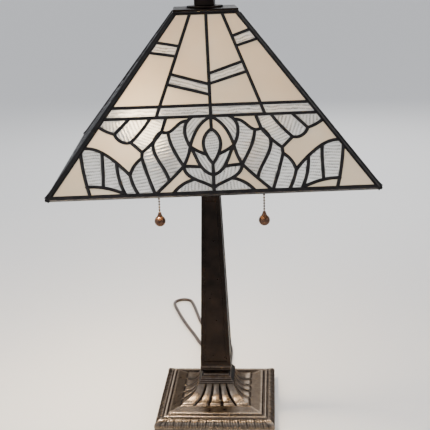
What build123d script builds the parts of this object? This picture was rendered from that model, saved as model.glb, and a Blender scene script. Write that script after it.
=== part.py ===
"""A two-light table lamp with a square leaded glass shade.

Millimetres, +Z up. The origin is at the centre of the base, on the surface that the lamp stands on.
The lamp's front is -Y, its two lights lie along X, and its supply cord leaves the back of the base.
"""
import math
import os

from build123d import *

os.makedirs("parts", exist_ok=True)

# ---------------------------------------------------------------- driving dimensions
SHADE_WIDTH = 406.4        # across the flats of the bottom rim, a 16 inch shade
SHADE_TOP_WIDTH = 85.0     # across the flats of the top rim
SHADE_RISE = 205.5         # from the bottom rim to the top rim
SHADE_Z = 402.0            # height of the bottom rim
SHADE_TURN = 5.7           # how far the shade is turned on its seat, in degrees
GLASS = 3.0                # thickness of the sheet glass
CAME = 4.5                 # width and thickness of a soldered lead line
BASE_WIDTH = 178.0         # across the flats of the base, a 7 inch base
BASE_TOP_Z = 52.0          # top of the base casting
COLUMN_Z = 80.0            # underside of the column
COLUMN_TOP_Z = 346.0       # top of the column
COLUMN_FOOT_WIDTH = 45.6   # across the flats of the column at its foot
COLUMN_TOP_WIDTH = 26.7    # and at its top
PIPE = 10.2                # diameter of the threaded pipe that holds the stand together
PIPE_BORE = 6.8            # its bore, which the cord runs through
ARM_Z = 360.0              # height at which the socket arms leave the cluster body
SOCKET_TILT = 30.0         # lean of a socket from upright, in degrees
CHAIN_X = 77.0             # the pull chains hang this far to each side
BEAD = 3.2                 # diameter of a number 6 chain's beads
BEAD_PITCH = 4.3           # from bead to bead
BALL = 16.5                # diameter of a pull ball
BALL_Z = 305.0             # height of its centre
PULL_TRAVEL = 9.0          # how far a pull chain comes down
CORD = 6.0                 # diameter of the supply cord
GAP = 0.3                  # gap between pieces that move past each other
FIT = 0.05                 # gap round a piece that sits in a hole
UPWARD = (Align.CENTER, Align.CENTER, Align.MIN)


def finish(part, name):
    """Labels a finished piece and writes it as a STEP file of the same name."""
    part.label = name
    export_step(part, f"parts/{name}.step")


# ---------------------------------------------------------------- shade: frame of one side
SHADE_RUN = (SHADE_WIDTH - SHADE_TOP_WIDTH) / 2
SLANT = math.hypot(SHADE_RUN, SHADE_RISE)
SIDES = {"front": 0, "right": 90, "back": 180, "left": 270}
RIM_HEIGHT = 2.5           # height of the rims, measured up the slope
RIM_PROUD = 0.8            # how far the rims stand proud of the panels
HIP_CLEAR = 3.2            # how far the panels stop short of a hip line


def side_plane(angle):
    """The outer face of one side of the shade: X along the bottom edge, Y up the slope, Z outward."""
    turn = math.radians(SHADE_TURN + angle)
    across = Vector(math.cos(turn), math.sin(turn), 0)
    outward = Vector(math.sin(turn), -math.cos(turn), 0)
    foot = outward * (SHADE_WIDTH / 2) + Vector(0, 0, SHADE_Z)
    normal = outward * SHADE_RISE + Vector(0, 0, SHADE_RUN)
    return Plane(origin=foot, x_dir=across, z_dir=normal)


def half_width(height, inset=0.0):
    """Half the width of a side at a height up the slope, less an inset square to the sloping edge."""
    lean = SHADE_RUN / SLANT
    return SHADE_WIDTH / 2 - height * lean - inset * math.hypot(1, lean)


def side_outline(bottom, top, inset):
    """The corners of a side between two heights up its slope."""
    low, high = half_width(bottom, inset), half_width(top, inset)
    return [(-low, bottom), (low, bottom), (high, top), (-high, top)]


# ---------------------------------------------------------------- shade: pattern of the leads
BAND_LOW = 106.0           # lower edge of the clear band
BAND_HIGH = 121.5          # upper edge of the clear band
RADIAL_LOW = 68.5          # where an outer radial lead crosses the band's lower edge
RADIAL_TOP = 20.5          # and where it reaches the top rim
PANEL_LOW = RIM_HEIGHT
PANEL_HIGH = SLANT - RIM_HEIGHT
BORDER = 2.0               # width of a panel's own edge lead

# Leads of the right half of the lower pattern, which is mirrored about X = 0.
NECK = (27, 64.5)          # where the flower's outer petal narrows
KNOT = (36, 38)            # where the flower's leaves meet the big leaf
SHOULDER = (54, 85)        # top of the big leaf
ELBOW = (62, 86.5)         # where the big leaf meets the diagonal leaf
CROOK = (86.5, 59)         # lower end of the diagonal leaf
FORK = (87, 51)            # top of the big leaf's last blade
CLEFT = (101.5, 28.5)      # between the big leaf and the outer leaf
TIP = (100.5, 73)          # outer end of the diagonal leaf
BUD = (120.5, 85)          # between the two blades of the top leaf
HALF_LEADS = [
    [(22, BAND_LOW), (31.5, 96), (32, 77), NECK],                      # outer petal
    [NECK, (30, 52), KNOT],
    [KNOT, (44, 29), (55, 17.5), (71, 2)],                        # inner edge of the big leaf
    [(0, 105), (11, 97), (20, 84), NECK],                         # inner petal
    [NECK, (18.5, 58.5), (8, 53)],
    [(0, 88), (6.5, 81.5), (10.5, 71), (8.5, 56), (0, 40)],       # the drop in the middle
    [NECK, (21, 51), (13, 34.5), (0, 25)],                        # upper small leaf
    [(14, 36), (25, 37.5), KNOT],                                 # lower small leaf
    [KNOT, (30.5, 26), (17, 17.5), (0, 8)],
    [(24, 20), (36, 15), (50, 2)],                                # fan at the bottom
    [(29, 100), (41, 95.5), SHOULDER, ELBOW],                     # top of the big leaf
    [SHOULDER, (52, 73), (44, 53), KNOT],                         # blades of the big leaf
    [ELBOW, (70, 78), (73, 68.5)],
    [(73, 68.5), (70, 54), (59, 33), (54, 18.5)],
    [CROOK, FORK],
    [FORK, (83, 37), (71.5, 3)],
    [FORK, (95, 43), CLEFT],
    [CLEFT, (97.5, 15), (91, 2)],
    [(56, BAND_LOW), (60, 93), ELBOW],                                 # diagonal leaf
    [ELBOW, (73, 72), CROOK],
    [(75.5, BAND_LOW), (86, 90), TIP],
    [TIP, CROOK],
    [(102, BAND_LOW), BUD],                                            # top leaf
    [TIP, (109, 73), (116, 77.5), BUD],
    [BUD, (133, 90.5), (143, 98)],
    [(163, 66), (149, 66), (127, 54), (111, 39), CLEFT],          # outer leaf
    [(118, 46), (115.5, 27), (107, 3)],
    [(136, 60.5), (134.5, 38), (134, 14)],
    [(163, 66), (158, 34), (149.5, 2)],
    [(154, 15), (134, 13.5), (120, 9.5), (107, 4)],
]
# Bars of clear glass across the four upper columns: the heights of a bar's middle at its column's two edges.
BAR = 15.0                 # height of a bar, from lead to lead
BARS = [(-1, -0.5, 209, 201.5), (-0.5, 0, 160.5, 144), (0, 0.5, 159.5, 176), (0.5, 1, 214.5, 225.5)]


def radial_x(share, height):
    """How far from the middle a lead lies that divides a side in the given share of its half width."""
    if abs(share) == 1:
        return share * half_width(height)
    climb = (height - BAND_LOW) / (SLANT - BAND_LOW)
    return 2 * share * (RADIAL_LOW + (RADIAL_TOP - RADIAL_LOW) * climb)


def lead_routes():
    """Every lead of one panel, as the points that its middle line passes through."""
    routes = []
    for points in HALF_LEADS:
        routes.append(points)
        routes.append([(-x, y) for x, y in points])
    for height in (BAND_LOW, BAND_HIGH):
        routes.append([(-half_width(height), height), (half_width(height), height)])
    for share in (-0.5, 0, 0.5):
        routes.append([(radial_x(share, BAND_LOW), BAND_LOW), (radial_x(share, SLANT), SLANT)])
    routes.append([(0, BAND_LOW), (0, 86)])
    routes.append([(0, 41), (0, 0)])
    for left, right, left_height, right_height in BARS:
        for edge in (-BAR / 2, BAR / 2):
            low, high = left_height + edge, right_height + edge
            routes.append([(radial_x(left, low), low), (radial_x(right, high), high)])
    return routes


# ---------------------------------------------------------------- shade: rims
MITRE = math.acos((SHADE_RUN / SLANT) ** 2)      # angle between the outward normals of two sides


def rim_sides(low, high):
    """Four bars that lie on the sides between two heights, proud of the panels inside and out."""
    spread = RIM_PROUD * math.tan(MITRE / 2)
    for angle in SIDES.values():
        with BuildSketch(side_plane(angle).offset(RIM_PROUD)) as bar:
            Polygon(*side_outline(low, high, -spread), align=None)
        extrude(bar.sketch, amount=-(CAME + 2 * RIM_PROUD))


with BuildPart() as rims:
    rim_sides(-1.0, RIM_HEIGHT)
    rim_sides(SLANT - RIM_HEIGHT, SLANT)
finish(rims.part, "shade_rims")


# ---------------------------------------------------------------- shade: panels
with BuildSketch() as panel_outline:
    Polygon(*side_outline(PANEL_LOW, PANEL_HIGH, HIP_CLEAR), align=None)

with BuildSketch() as panel_border:
    add(panel_outline.sketch)
    Polygon(
        *side_outline(PANEL_LOW + BORDER, PANEL_HIGH - BORDER, HIP_CLEAR + BORDER),
        align=None,
        mode=Mode.SUBTRACT,
    )

with BuildSketch() as lead_net:
    for route in lead_routes():
        with BuildLine():
            if len(route) == 2:
                Line(*route)
            else:
                Spline(*route)
        trace(line_width=CAME)
    with Locations(*sorted({end for route in lead_routes() for end in (route[0], route[-1])})):
        Circle(CAME / 2)
    add(panel_outline.sketch, mode=Mode.INTERSECT)
    add(panel_border.sketch)

with BuildSketch() as glass_outlines:
    add(panel_outline.sketch)
    add(lead_net.sketch, mode=Mode.SUBTRACT)


# A point inside each clear leaf, petal and drop of the right half, and in each clear bar.
CLEAR_LEAVES = [
    (123, 97), (100, 90), (77, 84),                               # top and diagonal leaves
    (147, 41), (124, 30), (106, 20),                              # outer leaf
    (39, 70), (56, 53), (71, 34), (88, 23),                       # big leaf
    (22, 92), (9, 42), (16, 25), (23, 10), (0, 66),               # flower
]
CLEAR_BARS = [(-55, 205), (-26, 152), (24, 168), (48, 219)]


def is_clear(face):
    """Whether a piece of glass is clear: a bar, the band, or a leaf or petal. The others are cream."""
    middle = face.center()
    if BAND_LOW < middle.Y < BAND_HIGH:
        return True
    if middle.Y > BAND_HIGH:
        return any(math.dist((middle.X, middle.Y), place) < 6 for place in CLEAR_BARS)
    return any(math.dist((abs(middle.X), middle.Y), place) < 6 for place in CLEAR_LEAVES)


clear_faces = [face for face in glass_outlines.faces() if is_clear(face)]
cream_faces = [face for face in glass_outlines.faces() if not is_clear(face)]
print(len(clear_faces), "clear and", len(cream_faces), "cream pieces of glass on each side")

for side, angle in SIDES.items():
    plane = side_plane(angle)
    with BuildPart() as leads:
        with BuildSketch(plane):
            add(lead_net.sketch)
        extrude(amount=-CAME)
        add(rims.part, mode=Mode.SUBTRACT)
    finish(leads.part, f"shade_{side}_leads")
    for kind, faces in (("clear", clear_faces), ("cream", cream_faces)):
        with BuildPart() as glass:
            with BuildSketch(plane.offset(-(CAME - GLASS) / 2)):
                add(faces)
            extrude(amount=-GLASS)
        finish(glass.part, f"shade_{side}_{kind}_glass")


# ---------------------------------------------------------------- shade: hips and cap
HIP_BEAD = 3.2             # radius of the solder bead along a hip
HIP_SINK = 1.4             # how far the middle of the bead lies inside the hip line


def hip_plane(angle):
    """A plane square to a hip, with its origin on the bead's axis at the height of the bottom rim."""
    turn = math.radians(SHADE_TURN + angle + 45)
    out = Vector(math.sin(turn), -math.cos(turn), 0)
    diagonal = math.sqrt(2)
    climb = (Vector(0, 0, SHADE_RISE) - out * (SHADE_RUN * diagonal)).normalized()
    inward = (Vector(0, 0, -SHADE_RUN * diagonal) - out * SHADE_RISE).normalized()
    corner = out * (SHADE_WIDTH / 2 * diagonal) + Vector(0, 0, SHADE_Z)
    return Plane(origin=corner + inward * HIP_SINK, x_dir=inward, z_dir=climb)


HIP_LENGTH = math.hypot(SLANT, SHADE_RUN)
with BuildPart() as side_slabs:
    for angle in SIDES.values():
        with BuildSketch(side_plane(angle)):
            Polygon(*side_outline(PANEL_LOW, PANEL_HIGH, HIP_CLEAR), align=None)
        extrude(amount=-CAME)

with BuildPart() as hip_seams:
    for angle in SIDES.values():
        with BuildSketch(hip_plane(angle).offset(RIM_HEIGHT)):
            Circle(HIP_BEAD)
        extrude(amount=HIP_LENGTH - 2 * RIM_HEIGHT)
    add(side_slabs.part, mode=Mode.SUBTRACT)
    add(rims.part, mode=Mode.SUBTRACT)
finish(hip_seams.part, "shade_hip_seams")

CAP_Z = SHADE_Z + SHADE_RISE + 0.5               # underside of the shade's cap, on the top rim
CAP = 2.5                                        # thickness of the cap
STUD = 6.2                                       # diameter of the stud that the finial screws to
CAP_PLANE = Plane.XY.offset(CAP_Z).rotated((0, 0, SHADE_TURN))

with BuildPart() as shade_cap:
    with BuildSketch(CAP_PLANE):
        Rectangle(SHADE_TOP_WIDTH + 2.4, SHADE_TOP_WIDTH + 2.4)
        Circle(STUD / 2 + GAP, mode=Mode.SUBTRACT)
    extrude(amount=CAP)
    chamfer(shade_cap.faces().sort_by(Axis.Z)[-1].outer_wire().edges(), 0.8)
finish(shade_cap.part, "shade_cap")


# ---------------------------------------------------------------- finial
RING = 50.0                # diameter of the check ring
RING_Z = CAP_Z + CAP + GAP
RING_HEIGHT = 2.4
FINIAL_Z = RING_Z + RING_HEIGHT
FINIAL = 27.0              # width of the finial's block
STUD_TOP = FINIAL_Z + 16

with BuildPart() as check_ring:
    with BuildSketch(Plane.XY.offset(RING_Z)):
        Circle(RING / 2)
        Circle(STUD / 2 + GAP, mode=Mode.SUBTRACT)
    extrude(amount=RING_HEIGHT)
    fillet(check_ring.faces().sort_by(Axis.Z)[-1].outer_wire().edges(), 1.1)
finish(check_ring.part, "check_ring")


def square_turned(points):
    """A body that is square in plan: one outline, given as half widths and heights, seen from both sides."""
    outline = points + [(-x, z) for x, z in reversed(points)]
    half = max(x for x, _ in points)
    for plane, mode in ((Plane.XZ, Mode.ADD), (Plane.YZ, Mode.INTERSECT)):
        with BuildSketch(plane) as profile:
            Polygon(*outline, align=None)
        extrude(profile.sketch, amount=half, both=True, mode=mode)


with BuildPart() as finial:
    f = FINIAL / 2
    z = FINIAL_Z
    square_turned([
        (f, z), (f, z + 11), (f - 3, z + 13), (f - 3, z + 16), (f - 1, z + 18),
        (f - 4, z + 38), (f - 2, z + 40), (f - 2, z + 43), (0.01, z + 52),
    ])
    with Locations((0, 0, z)):
        Cylinder(STUD / 2 + 0.05, STUD_TOP - z + 1, align=UPWARD, mode=Mode.SUBTRACT)
finish(finial.part, "finial")


# ---------------------------------------------------------------- base
FELT = 1.5                 # thickness of the felt, which the lamp stands on
PLATE = 1.5                # thickness of the bottom plate
FELT_WIDTH = BASE_WIDTH - 8
B = BASE_WIDTH / 2
LIP_TOP = 9.5              # height of the plain lip at the foot of the base
GROOVE_RADIUS = 1.3        # grooves between the lobes of the cove
COVE_FOOT = (50.0, 29.0)   # half width and height where the cove starts
COVE_BEND = (34.8, 36.6)   # a point in the middle of its hollow
COVE_HEAD = (26.6, 51.0)   # and where it ends, under the column's foot
LOBES = 5                  # lobes on each side of the cove


def base_outline():
    """The right half of the base's outline, from its underside to its top."""
    Polyline((0, FELT), (B - 0.5, FELT), (B, FELT + 0.5), (B, LIP_TOP), (B - 0.6, LIP_TOP + 1))
    ThreePointArc((B - 0.6, LIP_TOP + 1), (B - 2.6, 18.4), (B - 9.5, 21.8))
    Polyline((B - 9.5, 21.8), (B - 12, 21.8))
    ThreePointArc((B - 12, 21.8), (B - 13, 23.9), (B - 15, 24))
    Polyline((B - 15, 24), (B - 18, 24), (B - 19.5, 26), COVE_FOOT)
    ThreePointArc(COVE_FOOT, COVE_BEND, COVE_HEAD)
    Polyline(COVE_HEAD, (26.6, BASE_TOP_Z), (0, BASE_TOP_Z), (0, FELT))


def lobe_grooves():
    """Round grooves that run down the cove of one side and part its lobes."""
    for number in range(1, LOBES):
        share = 2 * number / LOBES - 1
        path = [(share * half, -half, height) for half, height in (COVE_FOOT, COVE_BEND, COVE_HEAD)]
        with BuildLine() as groove:
            ThreePointArc(*path)
        with BuildSketch(Plane(origin=groove.line @ 0, z_dir=groove.line % 0)) as section:
            Circle(GROOVE_RADIUS)
        sweep(section.sketch, path=groove.line, mode=Mode.SUBTRACT)


BOSS = 62.0                # screw bosses stand this far from the middle both ways
SCREW = 4.0                # diameter of the bottom plate's screws
CORD_EXIT_X = 11.0         # where the cord leaves the back of the base
CORD_EXIT_Z = 9.0
BUSHING = 9.8              # diameter of its bushing where it passes the base's wall
BOSS_WIDTH = 10.0
SCREW_HEAD = 7.6
SCREW_HEAD_HEIGHT = 1.2
SCREW_LENGTH = 10.0
CAVITY_TOP = 46.0          # the underside of the base's top, where its nut pulls
CORNER = 3.0               # radius of the felt's corners

with BuildPart() as half_base:
    for plane in (Plane.XZ, Plane.YZ):
        with BuildSketch(plane):
            with BuildLine():
                base_outline()
            make_face()
            mirror(about=Plane.YZ)
        extrude(amount=B, both=True, mode=Mode.ADD if plane == Plane.XZ else Mode.INTERSECT)

with BuildPart() as hollow:
    square_turned([(83, 0), (83, 9.5), (64, 21), (46, 24), (31, 31), (20, CAVITY_TOP)])
    with GridLocations(2 * BOSS, 2 * BOSS, 2, 2):
        Cylinder(BOSS_WIDTH / 2, CAVITY_TOP, align=UPWARD, mode=Mode.SUBTRACT)
    with BuildSketch():
        Rectangle(FELT_WIDTH, FELT_WIDTH)
    extrude(amount=FELT + PLATE)

with BuildPart() as base_casting:
    add(half_base.part)
    lobe_grooves()
    add(base_casting.part.rotate(Axis.Z, 90), mode=Mode.INTERSECT)
    add(base_casting.part.rotate(Axis.Z, 180), mode=Mode.INTERSECT)
    add(hollow.part, mode=Mode.SUBTRACT)
    Cylinder(PIPE / 2 + FIT, BASE_TOP_Z, align=UPWARD, mode=Mode.SUBTRACT)
    with Locations((CORD_EXIT_X, B - 5, CORD_EXIT_Z)):
        Cylinder(BUSHING / 2 + 2 * FIT, 20, rotation=(90, 0, 0), mode=Mode.SUBTRACT)
    with GridLocations(2 * BOSS, 2 * BOSS, 2, 2):
        Cylinder(SCREW / 2, FELT + SCREW_LENGTH + 0.5, align=UPWARD, mode=Mode.SUBTRACT)
finish(base_casting.part, "base_casting")

with BuildPart() as bottom_plate:
    with BuildSketch(Plane.XY.offset(FELT)):
        Rectangle(FELT_WIDTH - 0.4, FELT_WIDTH - 0.4)
        with GridLocations(2 * BOSS, 2 * BOSS, 2, 2):
            Circle(SCREW / 2 + FIT, mode=Mode.SUBTRACT)
    extrude(amount=PLATE)
finish(bottom_plate.part, "base_bottom_plate")

with BuildPart() as felt:
    with BuildSketch():
        RectangleRounded(FELT_WIDTH, FELT_WIDTH, CORNER)
        with GridLocations(2 * BOSS, 2 * BOSS, 2, 2):
            Circle(BOSS_WIDTH / 2, mode=Mode.SUBTRACT)
    extrude(amount=FELT)
finish(felt.part, "felt_pad")

with BuildPart() as plate_screws:
    with GridLocations(2 * BOSS, 2 * BOSS, 2, 2):
        with Locations((0, 0, FELT)):
            Cylinder(SCREW / 2, SCREW_LENGTH, align=UPWARD)
        with Locations((0, 0, FELT - SCREW_HEAD_HEIGHT)):
            Cylinder(SCREW_HEAD / 2, SCREW_HEAD_HEIGHT, align=UPWARD)
finish(plate_screws.part, "base_plate_screws")

WEIGHT = 104.0             # width of the iron weight in the base
WEIGHT_HEIGHT = 16.0
with BuildPart() as base_weight:
    with BuildSketch(Plane.XY.offset(FELT + PLATE)):
        RectangleRounded(WEIGHT, WEIGHT, 6)
        Circle(14, mode=Mode.SUBTRACT)
        with Locations((CORD_EXIT_X / 2, WEIGHT / 4)):
            Rectangle(12 + CORD_EXIT_X, WEIGHT / 2 + 1, mode=Mode.SUBTRACT)
    extrude(amount=WEIGHT_HEIGHT)
finish(base_weight.part, "base_weight")

NUT = 6.5                  # height of the nut
WASHER = 1.5               # thickness of its washer
PIPE_LOW = 34.0
PIPE_HIGH = 357.0

with BuildPart() as pipe_washer:
    with BuildSketch(Plane.XY.offset(CAVITY_TOP - WASHER)):
        Circle(12)
        Circle(PIPE / 2 + FIT, mode=Mode.SUBTRACT)
    extrude(amount=WASHER)
finish(pipe_washer.part, "pipe_washer")

with BuildPart() as pipe_nut:
    with BuildSketch(Plane.XY.offset(CAVITY_TOP - WASHER - NUT)):
        RegularPolygon(8.5, 6)
        Circle(PIPE / 2 + FIT, mode=Mode.SUBTRACT)
    extrude(amount=NUT)
finish(pipe_nut.part, "pipe_nut")

with BuildPart() as threaded_pipe:
    with BuildSketch(Plane.XY.offset(PIPE_LOW)):
        Circle(PIPE / 2)
        Circle(PIPE_BORE / 2, mode=Mode.SUBTRACT)
    extrude(amount=PIPE_HIGH - PIPE_LOW)
finish(threaded_pipe.part, "threaded_pipe")


# ---------------------------------------------------------------- column
HUB_Z = 351.0              # underside of the cluster body
COLUMN_WALL = 2.5
PANEL_FOOT = 6.5           # plain rail under the sunk panels of the column
GROOVE = 2.3               # width of the groove round a raised field
GROOVE_DEPTH = 1.6
FIELD_DEPTH = 0.6          # how far the raised field lies below the column's face


with BuildPart() as column_foot:
    square_turned([
        (27, BASE_TOP_Z), (27, 54), (25.2, 56.5), (23.2, 59), (22.3, 61), (21, 61.4), (19, 63.6),
        (19, 65.5), (20, 69.5), (23.3, 73), (23.3, 78.5), (22.6, COLUMN_Z),
    ])
    with Locations((0, 0, BASE_TOP_Z)):
        Cylinder(PIPE / 2 + FIT, COLUMN_Z - BASE_TOP_Z, align=UPWARD, mode=Mode.SUBTRACT)
finish(column_foot.part, "column_foot")


def column_half(z):
    """Half the width of the column at a height."""
    share = (z - COLUMN_Z) / (COLUMN_TOP_Z - COLUMN_Z)
    return (COLUMN_FOOT_WIDTH + share * (COLUMN_TOP_WIDTH - COLUMN_FOOT_WIDTH)) / 2


COLUMN_RISE = COLUMN_TOP_Z - COLUMN_Z
COLUMN_LEAN = column_half(COLUMN_Z) - column_half(COLUMN_TOP_Z)
COLUMN_SLANT = math.hypot(COLUMN_RISE, COLUMN_LEAN)


def column_face(angle):
    """The plane of one face of the column: X across, Y up the face from its foot, Z outward."""
    turn = math.radians(angle)
    out = Vector(math.sin(turn), -math.cos(turn), 0)
    foot = out * column_half(COLUMN_Z) + Vector(0, 0, COLUMN_Z)
    normal = out * COLUMN_RISE + Vector(0, 0, COLUMN_LEAN)
    return Plane(origin=foot, x_dir=(math.cos(turn), math.sin(turn), 0), z_dir=normal)


def face_panel(inset):
    """A panel of a column face, set in from the stiles and rails."""
    low, high = PANEL_FOOT + inset, COLUMN_SLANT - 6 - inset
    low_half = column_half(COLUMN_Z + low) - 5 - inset
    high_half = column_half(COLUMN_Z + high) - 3 - inset
    Polygon((-low_half, low), (low_half, low), (high_half, high), (-high_half, high), align=None)


with BuildPart() as column:
    for inset, mode in ((0, Mode.ADD), (COLUMN_WALL, Mode.SUBTRACT)):
        for z in (COLUMN_Z, COLUMN_TOP_Z):
            width = 2 * (column_half(z) - inset)
            with BuildSketch(Plane.XY.offset(z)):
                Rectangle(width, width)
        loft(mode=mode)
    for angle in (0, 90, 180, 270):
        with BuildSketch(column_face(angle)):
            face_panel(0)
        extrude(amount=-FIELD_DEPTH, mode=Mode.SUBTRACT)
        with BuildSketch(column_face(angle)):
            face_panel(0)
            with BuildSketch(mode=Mode.SUBTRACT):
                face_panel(GROOVE)
        extrude(amount=-GROOVE_DEPTH, mode=Mode.SUBTRACT)
finish(column.part, "column")

with BuildPart() as column_cap:
    c = COLUMN_TOP_WIDTH / 2
    square_turned([(c + 0.6, COLUMN_TOP_Z), (c + 2.6, COLUMN_TOP_Z + 2), (c + 2.6, HUB_Z)])
    with Locations((0, 0, COLUMN_TOP_Z)):
        Cylinder(PIPE / 2 + FIT, HUB_Z - COLUMN_TOP_Z, align=UPWARD, mode=Mode.SUBTRACT)
finish(column_cap.part, "column_cap")


# ---------------------------------------------------------------- cluster and its arms
HUB = 30.0                 # diameter of the cluster body
HUB_WALL = 4.0
HUB_TOP = 370.0            # where its cover sits
COVER_TOP = 376.0
ARM = 10.0                 # diameter of a socket arm
ARM_BORE = 6.8
ARM_RADIUS = 18.0          # radius of its bend
SOCKET_X = 48.0            # where a socket's axis starts
SOCKET_Z = ARM_Z + ARM_RADIUS * (1 - math.cos(math.radians(90 - SOCKET_TILT)))
ROD = 10.0                 # diameter of the riser rod that carries the shade
ROD_TOP = 606.0
SEAT_TOP = CAP_Z - GAP     # top of the seat nut, under the shade's cap

with BuildPart() as cluster_body:
    with Locations((0, 0, HUB_Z)):
        Cylinder(HUB / 2, HUB_TOP - HUB_Z, align=UPWARD)
    fillet(cluster_body.faces().sort_by(Axis.Z)[0].edges(), 1.5)
    with Locations((0, 0, HUB_Z + 3)):
        Cylinder(HUB / 2 - HUB_WALL, HUB_TOP - HUB_Z, align=UPWARD, mode=Mode.SUBTRACT)
    with Locations((0, 0, HUB_Z)):
        Cylinder(PIPE / 2 + FIT, 5, align=UPWARD, mode=Mode.SUBTRACT)
    with Locations((0, 0, ARM_Z)):
        Cylinder(ARM / 2 + FIT, HUB + 2, rotation=(0, 90, 0), mode=Mode.SUBTRACT)
finish(cluster_body.part, "cluster_body")

with BuildPart() as cluster_cover:
    with Locations((0, 0, HUB_TOP)):
        Cylinder(HUB / 2, COVER_TOP - HUB_TOP, align=UPWARD)
    fillet(cluster_cover.faces().sort_by(Axis.Z)[-1].edges(), 3)
    with Locations((0, 0, HUB_TOP)):
        Cylinder(ROD / 2 + FIT, COVER_TOP - HUB_TOP, align=UPWARD, mode=Mode.SUBTRACT)
finish(cluster_cover.part, "cluster_cover")

with BuildPart() as riser_rod:
    with Locations((0, 0, HUB_TOP - 3)):
        Cylinder(ROD / 2, ROD_TOP - HUB_TOP + 3, align=UPWARD)
    with Locations((0, 0, ROD_TOP)):
        Cylinder(STUD / 2, STUD_TOP - ROD_TOP, align=UPWARD)
finish(riser_rod.part, "riser_rod")

with BuildPart() as seat_nut:
    with BuildSketch(Plane.XY.offset(SEAT_TOP - 6)):
        RegularPolygon(11, 6)
        Circle(ROD / 2 + FIT, mode=Mode.SUBTRACT)
    extrude(amount=6)
finish(seat_nut.part, "seat_nut")


# ---------------------------------------------------------------- sockets, bulbs and pull chains
TILT = math.radians(SOCKET_TILT)


def along(side):
    """The direction of a socket's axis, upward and outward."""
    return Vector(side * math.sin(TILT), 0, math.cos(TILT))


def socket_profile(side):
    """A plane through a socket's axis: X outward and square to it, Y along it from its foot."""
    outward = Vector(side * math.cos(TILT), 0, -math.sin(TILT))
    origin = Vector(side * SOCKET_X, 0, SOCKET_Z)
    return Plane(origin=origin, x_dir=outward, z_dir=outward.cross(along(side)))


def turned(side, *points):
    """A body of revolution about a socket's axis, from its outline as radii and distances along it."""
    plane = socket_profile(side)
    with BuildSketch(plane) as profile:
        Polygon(*points, align=None)
    revolve(profile.sketch, axis=Axis(plane.origin, along(side)))


def arm_line(side):
    """The middle line of an arm: straight out of the cluster body, then curving up to the socket."""
    bend_x = side * (SOCKET_X - ARM_RADIUS * math.cos(TILT))
    start = (side * 12, 0, ARM_Z)
    corner = (bend_x, 0, ARM_Z)
    foot = Vector(side * SOCKET_X, 0, SOCKET_Z)
    Line(start, corner)
    TangentArc(corner, tuple(foot), tangent=(side, 0, 0))
    Line(foot, foot + along(side) * 4)


def arm_piece(side, radius, mode=Mode.ADD):
    """A round rod that follows an arm."""
    with BuildLine() as line:
        arm_line(side)
    with BuildSketch(Plane(origin=(side * 12, 0, ARM_Z), z_dir=(side, 0, 0))) as section:
        Circle(radius)
    sweep(section.sketch, path=line.wires()[0], mode=mode)


SHELL = 17.0               # outer radius of a socket's shell
SHELL_TOP = 56.0           # its mouth, measured along the socket
CORE_LOW = 9.0
CORE_TOP = 28.0
SLEEVE = 14.0              # outer radius of the screw sleeve
BULB_FOOT = CORE_TOP + 0.6
BULB_BASE = 13.1           # radius of the bulb's screw base
BULB = 24.0                # radius of the bulb
BULB_LENGTH = 89.0
GUIDE_LOW = 350.0          # mouth of the chain guide
GUIDE_BORE = 2.1           # radius of its bore
GUIDE_DEPTH = 18.5         # depth of its bore, up to the level of the stub that carries it


def bulb_outline(inset):
    """Half of the bulb's outline, from its neck round to its tip, and back along its axis."""
    neck = BULB_FOOT + 24
    tip = BULB_FOOT + BULB_LENGTH
    widest = tip - BULB
    Spline(
        (12.6 - inset, neck),
        (BULB - inset, widest),
        tangents=[(0.15, 1), (0, 1)],
        tangent_scalars=[1.1, 1.0],
    )
    RadiusArc((BULB - inset, widest), (0, tip - inset), -(BULB - inset))
    Polyline((0, tip - inset), (0, neck), (12.6 - inset, neck))


CHAIN_BEADS = 7            # beads between the guide and the bell
LINK = 1.2                 # diameter of the wire that joins the beads
BOTH = {"left": -1, "right": 1}

with BuildPart() as arms:
    for side in BOTH.values():
        arm_piece(side, ARM / 2)
    for side in BOTH.values():
        arm_piece(side, ARM_BORE / 2, mode=Mode.SUBTRACT)
finish(arms.part, "socket_arms")

with BuildPart() as wires:
    for side in BOTH.values():
        arm_piece(side, 1.6)
finish(wires.part, "arm_wires")

with BuildPart() as caps:
    r = SHELL + FIT
    for side in BOTH.values():
        turned(
            side,
            (ARM / 2 + FIT, 0), (8, 0), (8.6, 2), (14, 5.5), (r + 0.9, 10), (r + 0.9, 17),
            (r, 17), (r, 10.6), (13.4, 6.6), (ARM / 2 + FIT, 3.6),
        )
finish(caps.part, "socket_caps")

with BuildPart() as shells:
    r = SHELL
    for side in BOTH.values():
        turned(
            side,
            (r - 0.6, CORE_LOW + 2), (r, CORE_LOW + 2), (r, SHELL_TOP - 3), (r + 0.9, SHELL_TOP - 1.5),
            (r, SHELL_TOP), (r - 0.6, SHELL_TOP),
        )
finish(shells.part, "socket_shells")

with BuildPart() as cores:
    for side in BOTH.values():
        turned(side, (0, CORE_LOW), (SLEEVE - 1, CORE_LOW), (SLEEVE, 12), (SLEEVE, CORE_TOP), (0, CORE_TOP))
finish(cores.part, "socket_cores")

with BuildPart() as sleeves:
    for side in BOTH.values():
        turned(
            side,
            (SLEEVE, CORE_TOP), (SLEEVE, SHELL_TOP - 4), (SLEEVE - 0.5, SHELL_TOP - 4), (SLEEVE - 0.5, CORE_TOP),
        )
finish(sleeves.part, "socket_screw_sleeves")

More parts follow.
